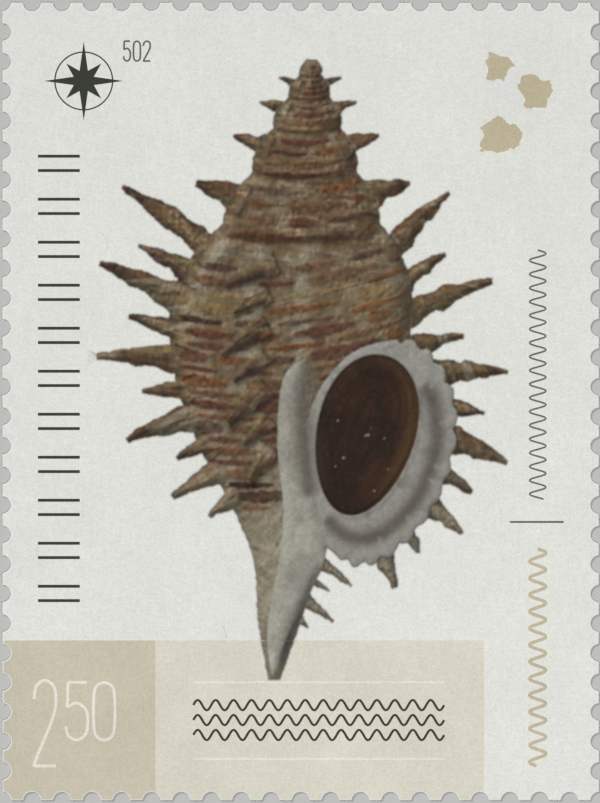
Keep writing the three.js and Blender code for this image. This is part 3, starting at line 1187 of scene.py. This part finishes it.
def makeFibreTree():
    # paper fibres that stand out of the torn tooth ends, pressed flat about the middle of the sheet
    tree, given = startTree("tornFibres", (
        ("Geometry", "Geometry"), ("Density", "Float"), ("Length", "Float"), ("Width", "Float"),
        ("Middle", "Float"), ("Flatness", "Float"), ("Seed", "Int"), ("Material", "Material")))
    roots = addNode(tree, "GeometryNodeDistributePointsOnFaces", {
        "Mesh": given["Geometry"], "Density": given["Density"], "Seed": given["Seed"]})
    bend = addMath(tree, "MULTIPLY", given["Length"], 0.3)
    sunk = addMath(tree, "MULTIPLY", given["Length"], -0.3)
    root = addNode(tree, "ShaderNodeCombineXYZ", {"Z": sunk})
    knee = addNode(tree, "ShaderNodeCombineXYZ", {"X": bend, "Z": bend})
    tip = addNode(tree, "ShaderNodeCombineXYZ", {"X": sunk, "Z": given["Length"]})
    spine = addNode(tree, "GeometryNodeCurvePrimitiveBezierSegment", {
        "Resolution": 4, "Start": root.outputs[0], "Start Handle": (0, 0, 0), "End Handle": knee.outputs[0],
        "End": tip.outputs[0]})
    thin = addNode(tree, "GeometryNodeSplineParameter").outputs[0]
    taper = addMath(tree, "SUBTRACT", 1.0, addMath(tree, "MULTIPLY", thin, 0.7))
    spine = addNode(tree, "GeometryNodeSetCurveRadius", {"Curve": spine.outputs[0], "Radius": taper})
    section = addNode(tree, "GeometryNodeCurvePrimitiveCircle", {
        "Resolution": 3, "Radius": addMath(tree, "MULTIPLY", given["Width"], 0.5)})
    fibre = addNode(tree, "GeometryNodeCurveToMesh", {
        "Curve": spine.outputs[0], "Profile Curve": section.outputs[0], "Fill Caps": True})
    placed = addNode(tree, "GeometryNodeInstanceOnPoints", {
        "Points": roots.outputs["Points"], "Instance": fibre.outputs[0],
        "Rotation": roots.outputs["Rotation"], "Scale": addChance(tree, 0.4, 1.2, given["Seed"])})
    swing = addNode(tree, "FunctionNodeRandomValue", {0: (-0.7, -0.9, 0), 1: (0.7, 0.9, 6.28),
                                                      "Seed": given["Seed"]}, data_type="FLOAT_VECTOR")
    turned = addNode(tree, "GeometryNodeRotateInstances", {"Instances": placed.outputs[0],
                                                           "Rotation": swing.outputs[0]})
    loose = addNode(tree, "GeometryNodeRealizeInstances", {0: turned.outputs[0]})
    position = addNode(tree, "GeometryNodeInputPosition")
    place = addNode(tree, "ShaderNodeSeparateXYZ", {0: position.outputs[0]})
    lift = addMath(tree, "SUBTRACT", place.outputs[2], given["Middle"])
    height = addMath(tree, "MULTIPLY_ADD", lift, given["Flatness"], given["Middle"])
    held = addNode(tree, "ShaderNodeCombineXYZ", {"X": place.outputs[0], "Y": place.outputs[1], "Z": height})
    flat = addNode(tree, "GeometryNodeSetPosition", {
        "Geometry": loose.outputs[0], "Position": held.outputs[0]})
    finished = addNode(tree, "GeometryNodeSetMaterial", {"Geometry": flat.outputs[0],
                                                         "Material": given["Material"]})
    addNode(tree, "NodeGroupOutput", {0: finished.outputs[0]})
    return tree


def outlineOf(mesh):
    # the vertices round the mesh's edge, anticlockwise
    uses = {}
    for polygon in mesh.polygons:
        for key in polygon.edge_keys:
            uses[key] = uses.get(key, 0) + 1
    beside = {}
    for (a, b), count in uses.items():
        if count == 1:
            beside.setdefault(a, []).append(b)
            beside.setdefault(b, []).append(a)
    first = min(beside)
    loop = [first, beside[first][0]]
    while True:
        following = [v for v in beside[loop[-1]] if v != loop[-2]][0]
        if following == first:
            break
        loop.append(following)
    places = np.array([mesh.vertices[v].co[:2] for v in loop])
    onward = np.roll(places, -1, axis=0)
    area = (places[:, 0] * onward[:, 1] - places[:, 1] * onward[:, 0]).sum()
    return loop if area > 0 else loop[::-1]


def insetLoop(loop, depth):
    # the loop moved inwards, mitred at its corners
    before, after = loop - np.roll(loop, 1, axis=0), np.roll(loop, -1, axis=0) - loop
    before /= np.hypot(*before.T)[:, None]
    after /= np.hypot(*after.T)[:, None]
    inward = np.column_stack([-(before + after)[:, 1], (before + after)[:, 0]])
    inward /= np.maximum((inward ** 2).sum(1), 0.8)[:, None] / 2
    return loop + depth * inward


def cutBack():
    # the gummed back as the perforating nodes leave it, its edge torn and its outline
    empty = bpy.data.meshes.new("blankSheet")
    made = runTree(makePerforationTree(), empty, Wide=paperWide, Tall=paperTall,
                   GapsAcross=sheet["gapsAcross"], GapsDown=sheet["gapsDown"],
                   HoleWide=sheet["holeWide"], HoleSides=sheet["holeSides"],
                   EdgeStep=sheet["edgeStep"], Seed=sheet["seed"], Material=dryGum)
    welded = bmesh.new()
    welded.from_mesh(made)
    bmesh.ops.remove_doubles(welded, verts=welded.verts, dist=sheet["weld"])
    welded.to_mesh(made)
    welded.free()
    loop = outlineOf(made)
    places = np.array([vertex.co[:2] for vertex in made.vertices])
    edge = places[loop]
    torn = (np.abs(edge[:, 0]) > paperWide / 2 - 0.01) | (np.abs(edge[:, 1]) > paperTall / 2 - 0.01)
    run = np.arange(len(loop)) * 1.0
    ragged = sheet["tornDepth"] * (0.5 + 0.5 * grain(run * 0.45, run * 0 + 0.5, 41, 3)) * torn
    ragged = ragged + sheet["holeWobble"] * (1 + grain(run * 0.8, run * 0 + 0.5, 42, 2)) * ~torn
    places[loop] = insetLoop(edge, ragged[:, None])
    faces = [tuple(polygon.vertices) for polygon in made.polygons]
    bpy.data.meshes.remove(made)
    return places, faces, np.array(loop), torn


def shellAt(x, y):
    # the picture's ink at each point, read between canvas cells
    u = (x - canvas.left) / canvas.cell - 0.5
    v = (y - canvas.low) / canvas.cell - 0.5
    rows, columns = shellPrint.shape[:2]
    on = (u > 0) & (v > 0) & (u < columns - 1.001) & (v < rows - 1.001)
    i, j = np.where(on, u, 0).astype(int), np.where(on, v, 0).astype(int)
    fu, fv = (np.where(on, u, 0) - i)[:, None], (np.where(on, v, 0) - j)[:, None]
    low = shellPrint[j, i] * (1 - fu) + shellPrint[j, i + 1] * fu
    high = shellPrint[j + 1, i] * (1 - fu) + shellPrint[j + 1, i + 1] * fu
    return (low * (1 - fv) + high * fv) * on[:, None]


def facePoints():
    # mesh points close together where the picture is busy, and far apart on bare paper
    step = sheet["fineStep"]
    rows = np.arange(shellCanvas["low"] + 0.1, shellCanvas["high"] - 0.1, step * 0.866)
    columns = np.arange(shellCanvas["left"] + 0.1, shellCanvas["right"] - 0.1, step)
    i, j = np.meshgrid(np.arange(len(columns)), np.arange(len(rows)))
    x = columns[i] + (j % 2) * step / 2
    y = rows[j]
    light = shellPrint[..., :3].sum(2) + 1.5 * (1 - shellPrint[..., 3])
    light = np.sqrt(light)
    detail = blur(np.abs(light - blur(light, 2)), 2)
    spread = blur(shellPrint[..., 3], 3)

    def pick(field):
        u = np.clip(((x - canvas.left) / canvas.cell).astype(int), 0, field.shape[1] - 1)
        v = np.clip(((y - canvas.low) / canvas.cell).astype(int), 0, field.shape[0] - 1)
        return field[v, u]

    inked = pick(spread) > 0.002
    calm = (j % 2 == 0) & ((i + j // 2) % 2 == 0)
    ranked = np.where(inked & ~calm, pick(detail), -1)
    threshold = np.sort(ranked, axis=None)[-sheet["finePoints"]]
    kept = inked & (calm | (ranked >= max(threshold, 0)))
    wide = sheet["plainStep"]
    bareX, bareY = np.meshgrid(np.arange(-paperWide / 2 + 0.8, paperWide / 2 - 0.5, wide),
                               np.arange(-paperTall / 2 + 0.8, paperTall / 2 - 0.5, wide))
    bareX, bareY = bareX.ravel(), bareY.ravel()
    u = ((bareX - canvas.left) / canvas.cell).astype(int)
    v = ((bareY - canvas.low) / canvas.cell).astype(int)
    on = (u >= 0) & (v >= 0) & (u < spread.shape[1]) & (v < spread.shape[0])
    bare = ~on
    bare[on] = spread[v[on], u[on]] < 0.0005
    return np.vstack([np.column_stack([x[kept], y[kept]]), np.column_stack([bareX[bare], bareY[bare]])])


def inkEdges(inks, rim):
    # the parts of the flat inks' outlines that lie on the sheet, as points and joined pairs
    points, pairs = [], []
    for tone, outline, line, width in inks:
        dense = []
        for a, b in zip(outline, np.roll(outline, -1, axis=0)):
            count = max(1, int(np.hypot(*(b - a)) / 0.4))
            dense.append(a + (b - a) * np.linspace(0, 1, count, endpoint=False)[:, None])
        dense = np.vstack(dense)
        sure = (np.abs(dense[:, 0]) < paperWide / 2 - 0.6) & (np.abs(dense[:, 1]) < paperTall / 2 - 0.6)
        sure[~sure] = depthInside(*dense[~sure].T, rim) > 0.03
        start = len(points)
        points.extend(dense)
        following = np.roll(np.arange(len(dense)), -1)
        joined = [k for k in range(len(dense)) if sure[k] and sure[following[k]]]
        pairs.extend((start + k, start + following[k]) for k in joined)
    used = sorted({k for pair in pairs for k in pair})
    place = {k: n for n, k in enumerate(used)}
    return np.array([points[k] for k in used]), [(place[a], place[b]) for a, b in pairs]


def makeStamp():
    back, backFaces, loop, torn = cutBack()
    outline = back[loop]
    count = len(loop)
    rings = [insetLoop(outline, inset) for inset, share in sheet["rings"]]
    rim = rings[0]
    inks = gatherInks()
    points = facePoints()
    inkPoints, inkPairs = inkEdges(inks, rim)
    planar = np.vstack([rim, inkPoints, points])
    edges = [(k, (k + 1) % count) for k in range(count)]
    edges += [(a + count, b + count) for a, b in inkPairs]
    flat, _, triangles, sources, _, _ = geometry.delaunay_2d_cdt(
        [Vector(p) for p in planar], edges, [], 0, 1e-6)
    flat = np.array([p[:] for p in flat])
    triangles = np.array([t for t in triangles if len(t) == 3])
    middles = flat[triangles].mean(1)
    fringe = (np.abs(middles[:, 0]) > paperWide / 2 - 0.7) | (np.abs(middles[:, 1]) > paperTall / 2 - 0.7)
    inside = ~fringe
    inside[fringe] = depthInside(*middles[fringe].T, rim) > 0
    triangles, middles = triangles[inside], middles[inside]
    rimAt = {}
    for index, found in enumerate(sources):
        for source in found:
            if source < count:
                rimAt[source] = index

    # stack the face, the rings down the edge and the back
    vertices = [np.column_stack([flat, np.full(len(flat), paperThick)])]
    ringIds = [np.array([rimAt[k] for k in range(count)])]
    start = len(flat)
    for ring, (inset, share) in list(zip(rings, sheet["rings"]))[1:]:
        vertices.append(np.column_stack([ring, np.full(count, share * paperThick)]))
        ringIds.append(start + np.arange(count))
        start += count
    vertices.append(np.column_stack([back, np.zeros(len(back))]))
    ringIds.append(start + loop)
    faces = [tuple(t) for t in triangles.tolist()]
    for upper, lower in zip(ringIds[:-1], ringIds[1:]):
        after = np.roll(np.arange(count), -1)
        faces += np.column_stack([lower, lower[after], upper[after], upper]).tolist()
    walls = len(faces) - len(triangles)
    faces += [tuple(start + v for v in face) for face in backFaces]
    mesh = bpy.data.meshes.new("stampPaper")
    mesh.from_pydata((np.vstack(vertices) * mm).tolist(), [], faces)
    stamp = makeObject("printed_stamp", mesh, printedPaper, tornPaper, dryGum)
    slots = np.repeat([0, 1, 2], [len(triangles), walls, len(backFaces)])
    mesh.polygons.foreach_set("material_index", slots.astype(np.int32))
    mesh.polygons.foreach_set("use_smooth", slots == 1)
    whole = np.vstack(vertices)
    picture = mesh.color_attributes.new("pictureInk", "FLOAT_COLOR", "POINT")
    ink = shellAt(whole[:, 0], whole[:, 1]) * (whole[:, 2] > 0.99 * paperThick)[:, None]
    picture.data.foreach_set("color", ink.astype(np.float32).ravel())
    flatInk = mesh.color_attributes.new("flatInk", "FLOAT_COLOR", "CORNER")
    corners = np.zeros((len(mesh.loops), 4), np.float32)
    corners[:3 * len(triangles)] = np.repeat(inkAt(inks, *middles.T), 3, axis=0)
    flatInk.data.foreach_set("color", corners.ravel())
    tidy = bmesh.new()
    tidy.from_mesh(mesh)
    loose = [vertex for vertex in tidy.verts if not vertex.link_faces]
    bmesh.ops.delete(tidy, geom=loose, context="VERTS")
    bmesh.ops.recalc_face_normals(tidy, faces=tidy.faces)
    tidy.to_mesh(mesh)
    tidy.free()
    print("stamp:", len(mesh.polygons), "faces,", count, "points round the edge")
    return stamp, outline, torn


fibres = {"density": 220, "length": 0.12, "width": 0.012, "flatness": 0.26, "seed": 11}


def makeFibres(outline, torn):
    # the torn walls alone, for the fibres to stand on
    after = np.roll(np.arange(len(outline)), -1)
    low = np.column_stack([outline, np.full(len(outline), 0.15 * paperThick)])
    high = np.column_stack([outline, np.full(len(outline), 0.85 * paperThick)])
    count = len(outline)
    walls = [(k, after[k], count + after[k], count + k) for k in range(count) if torn[k] and torn[after[k]]]
    wall = bpy.data.meshes.new("tornWalls")
    wall.from_pydata(np.vstack([low, high]).tolist(), [], walls)
    mesh = runTree(makeFibreTree(), wall, Density=fibres["density"], Length=fibres["length"],
                   Width=fibres["width"], Middle=paperThick / 2, Flatness=fibres["flatness"],
                   Seed=fibres["seed"], Material=tornPaper)
    mesh.transform(Matrix.Scale(mm, 4))
    mesh.materials.clear()
    mesh.polygons.foreach_set("material_index", np.zeros(len(mesh.polygons), np.int32))
    made = makeObject("torn_fibres", mesh, tornPaper)
    print("fibres:", len(mesh.polygons), "faces")
    return made


stamp, outline, torn = makeStamp()
fibrePiece = makeFibres(outline, torn)
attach(stamp, "root")
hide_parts("stamp_paper")
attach(fibrePiece, "root")
